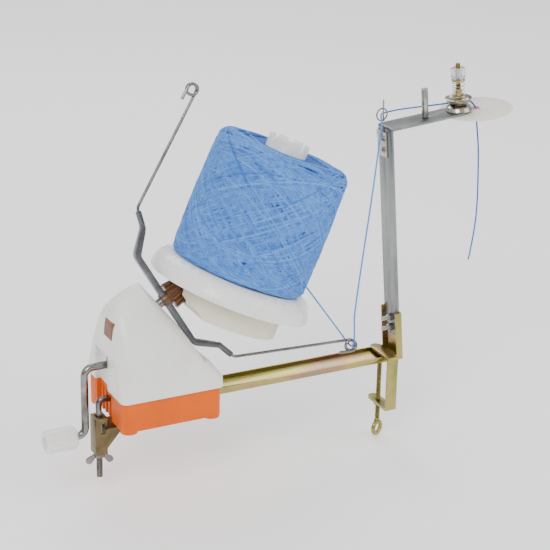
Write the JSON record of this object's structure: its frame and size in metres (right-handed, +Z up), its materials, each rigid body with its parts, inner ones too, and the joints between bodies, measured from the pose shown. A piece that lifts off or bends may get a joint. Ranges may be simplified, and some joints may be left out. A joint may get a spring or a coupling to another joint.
{
  "type": "ball winder",
  "caption": "Hand-cranked yarn ball winder: inclined flyer round a tilted spool on a clamped base, with a folded mast that carries the thread tension and the guide disc.",
  "frame": {"origin": "middle of the housing's footprint, on the table top, at the table clamp's plane", "axes": "+X along the beam from the crank towards the mast, +Y away from the open side of the beam clamp, +Z up"},
  "size_m": [0.5402, 0.176, 0.4236],
  "materials": {
    "tray_orange": "glossy",
    "cover_white": "glossy",
    "label_brown": "satin",
    "frame_steel": "satin",
    "screw_zinc": "satin",
    "bush_bronze": "satin",
    "spindle_steel": "polished",
    "drum_cream": "glossy",
    "beam_zinc": "yellow passivated",
    "mast_zinc": "satin",
    "clip_steel": "satin",
    "dark_wire": "satin",
    "plated_wire": "polished",
    "plain_brass": "satin",
    "saucer_steel": "polished",
    "guide_cream": "satin",
    "eyelet_pink": "glossy",
    "spring_steel": "polished",
    "yarn_blue": "soft",
    "gear_nylon": "satin",
    "knob_white": "glossy",
    "hub_brown": "glossy",
    "bar_zinc": "satin",
    "spool_white": "glossy",
    "bracket_khaki": "satin",
    "knob_clear": "clear"
  },
  "bodies": {
    "frame": {"base_tray": "tray_orange", "cover": "cover_white", "label_plate": "label_brown", "gear_frame": "frame_steel", "frame_screws": "screw_zinc", "crank_bushes": "bush_bronze", "flyer_bush": "bush_bronze", "fixed_spindle": "spindle_steel", "gear_carrier": "drum_cream", "spool_axle": "spindle_steel", "beam": "beam_zinc", "beam_screws": "screw_zinc", "mast": "mast_zinc", "mast_bolts": "screw_zinc", "mast_nuts": "screw_zinc", "guide_clip": "clip_steel", "guide_screws": "screw_zinc", "pigtail_guide": "dark_wire", "guide_post": "plated_wire", "tension_stud": "beam_zinc", "tension_sleeve": "plain_brass", "lower_saucer": "saucer_steel", "guide_disc": "guide_cream", "disc_eyelet": "eyelet_pink", "tension_spring": "spring_steel", "yarn_feed": "yarn_blue"},
    "crank": {"crank_rod": "plated_wire", "crank_gear": "gear_nylon", "crank_hub": "gear_nylon", "crank_clip": "screw_zinc", "knob_screw": "screw_zinc"},
    "crank_grip": {"crank_knob": "knob_white"},
    "flyer": {"flyer_shaft": "spindle_steel", "flyer_pinion": "gear_nylon", "flyer_bar": "bar_zinc", "flyer_hub": "hub_brown", "front_pinion": "hub_brown", "flyer_wires": "plated_wire", "yarn_strand": "yarn_blue"},
    "spool": {"spool_flange": "spool_white", "spool_gear": "gear_nylon", "spool_core": "spool_white", "core_cap": "knob_white", "yarn_ball": "yarn_blue"},
    "table_bolt": {"hook_bolt": "plated_wire"},
    "table_jaw": {"clamp_jaw": "bracket_khaki"},
    "table_nut": {"wing_nut": "plated_wire"},
    "beam_clamp": {"clamp_strap": "beam_zinc"},
    "beam_pad": {"clamp_pad": "clip_steel"},
    "beam_screw": {"eye_screw": "beam_zinc"},
    "tension_disc": {"upper_saucer": "saucer_steel"},
    "tension_seat": {"spring_seat": "plain_brass"},
    "tension_grip": {"tension_knob": "knob_clear"}
  },
  "joints": [
    {"name": "crank_turn", "type": "hinge", "parent": "frame", "child": "crank", "pos_m": [-0.02, 0, 0.06], "axis": [1, 0, 0], "continuous": true},
    {"name": "knob_spin", "type": "hinge", "parent": "crank", "child": "crank_grip", "pos_m": [-0.1, 0, -0.015], "axis": [1, 0, 0], "continuous": true},
    {"name": "flyer_spin", "type": "hinge", "parent": "frame", "child": "flyer", "pos_m": [0.0145, 0, 0.1226], "axis": [0.8746, 0, 0.4848], "continuous": true, "deforming": ["yarn_feed", "yarn_strand"]},
    {"name": "spool_spin", "type": "hinge", "parent": "frame", "child": "spool", "pos_m": [0.10896, 0, 0.17496], "axis": [0.3987, 0, 0.9171], "continuous": true},
    {"name": "hook_swing", "type": "hinge", "parent": "frame", "child": "table_bolt", "pos_m": [-0.04975, 0, 0.022], "axis": [0, 1, 0], "range_deg": [-8, 3]},
    {"name": "table_jaw_slide", "type": "slide", "parent": "table_bolt", "child": "table_jaw", "axis": [0, 0, 1], "range_m": [-0.014, 0.005]},
    {"name": "wing_nut_turn", "type": "hinge", "parent": "table_jaw", "child": "table_nut", "pos_m": [-0.063, 0, -0.04], "axis": [0, 0, 1], "range_deg": [-5041, 1801]},
    {"name": "clamp_slide", "type": "slide", "parent": "frame", "child": "beam_clamp", "axis": [1, 0, 0], "range_m": [-0.15, 0.004]},
    {"name": "clamp_pad_slide", "type": "slide", "parent": "beam_clamp", "child": "beam_pad", "axis": [0, 0, -1], "range_m": [0, 0.03]},
    {"name": "eye_screw_turn", "type": "hinge", "parent": "beam_pad", "child": "beam_screw", "pos_m": [0.272, 0, 0], "axis": [0, 0, -1], "range_deg": [0, 10801]},
    {"name": "tension_disc_lift", "type": "slide", "parent": "frame", "child": "tension_disc", "axis": [-0.0872, 0, 0.9962], "range_m": [0, 0.0015], "stiffness_N_per_m": 150, "springref_m": -0.004, "deforming": ["tension_spring"]},
    {"name": "tension_seat_slide", "type": "slide", "parent": "frame", "child": "tension_seat", "axis": [-0.0872, 0, 0.9962], "range_m": [-0.008, 0.004], "deforming": ["tension_spring"]},
    {"name": "tension_knob_turn", "type": "hinge", "parent": "tension_seat", "child": "tension_grip", "pos_m": [0.35282, 0, 0.324], "axis": [-0.0872, 0, 0.9962], "range_deg": [-3601, 1801]}
  ],
  "couplings": [
    {"joint": "flyer_spin", "follows": "crank_turn", "ratio": -4},
    {"joint": "spool_spin", "follows": "crank_turn", "ratio": 1},
    {"joint": "wing_nut_turn", "follows": "table_jaw_slide", "rad_per_m": 6283.2},
    {"joint": "eye_screw_turn", "follows": "clamp_pad_slide", "rad_per_m": 6283.2},
    {"joint": "tension_knob_turn", "follows": "tension_seat_slide", "rad_per_m": 7854}
  ]
}
